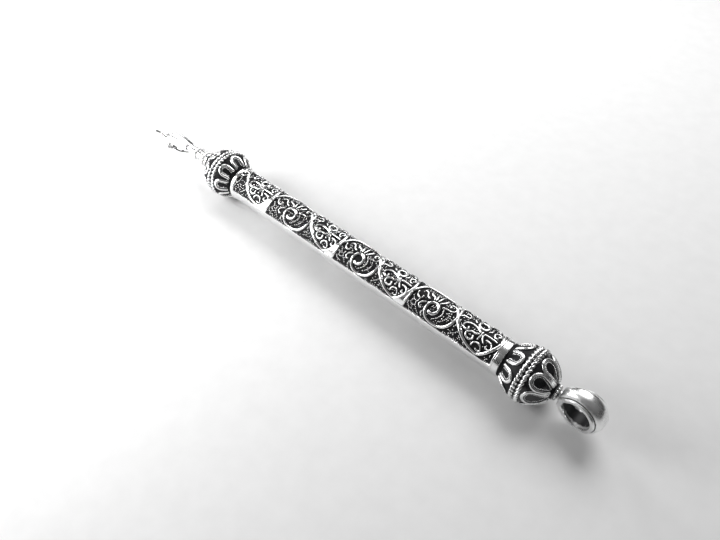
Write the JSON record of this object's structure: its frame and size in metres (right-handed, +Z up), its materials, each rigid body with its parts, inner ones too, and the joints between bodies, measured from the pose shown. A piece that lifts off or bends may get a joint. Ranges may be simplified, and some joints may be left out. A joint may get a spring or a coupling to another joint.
{
  "type": "mezuzah case",
  "caption": "Slender round silver case with a filigree tube, a ball at each end, a pointing hand, a pull-off cap and a swivel bail over a rolled parchment.",
  "frame": {"origin": "middle of the bottom of the bounding box, where the case lies on its two balls", "axes": "+X along the tube from the hand towards the bail, +Z up, +Y across the tube"},
  "size_m": [0.1134, 0.0102, 0.0102],
  "materials": {
    "bright_silver": "polished",
    "worked_silver": "polished on top and blackened in the recesses",
    "blackened_silver": "oxidised, satin",
    "parchment": "matt"
  },
  "bodies": {
    "case": {"tube": "blackened_silver", "end_plug": "bright_silver", "scrollwork_sleeve": "worked_silver", "seam_strip": "bright_silver", "far_rim_ring": "bright_silver", "mouth_ferrule": "bright_silver", "far_collar": "blackened_silver", "far_inner_dome": "blackened_silver", "far_outer_dome": "blackened_silver", "far_inner_rope": "bright_silver", "far_outer_rope": "bright_silver", "far_inner_petals": "bright_silver", "far_outer_petals": "bright_silver", "bell_cup": "blackened_silver", "cup_ring": "bright_silver", "wrist_sleeve": "bright_silver", "wrist_ring": "bright_silver", "pointing_hand": "bright_silver"},
    "cap": {"cap_plug": "bright_silver", "cap_collar": "blackened_silver", "cap_inner_dome": "blackened_silver", "cap_outer_dome": "blackened_silver", "cap_inner_rope": "bright_silver", "cap_outer_rope": "bright_silver", "cap_inner_petals": "bright_silver", "cap_outer_petals": "bright_silver", "pole_granules": "bright_silver", "neck_bead": "bright_silver", "swivel_pin": "bright_silver"},
    "bail": {"bail": "bright_silver"},
    "scroll": {"parchment_scroll": "parchment"}
  },
  "joints": [
    {"name": "cap_pull", "type": "slide", "parent": "case", "child": "cap", "axis": [1, 0, 0], "range_m": [0, 0.078]},
    {"name": "scroll_slide", "type": "slide", "parent": "case", "child": "scroll", "axis": [1, 0, 0], "range_m": [0, 0.07]},
    {"name": "bail_swivel", "type": "hinge", "parent": "cap", "child": "bail", "pos_m": [0.04896, 0, 0.0051], "axis": [1, 0, 0], "continuous": true}
  ],
  "couplings": [
    {"joint": "scroll_slide", "follows": "cap_pull", "ratio": 0.85}
  ]
}
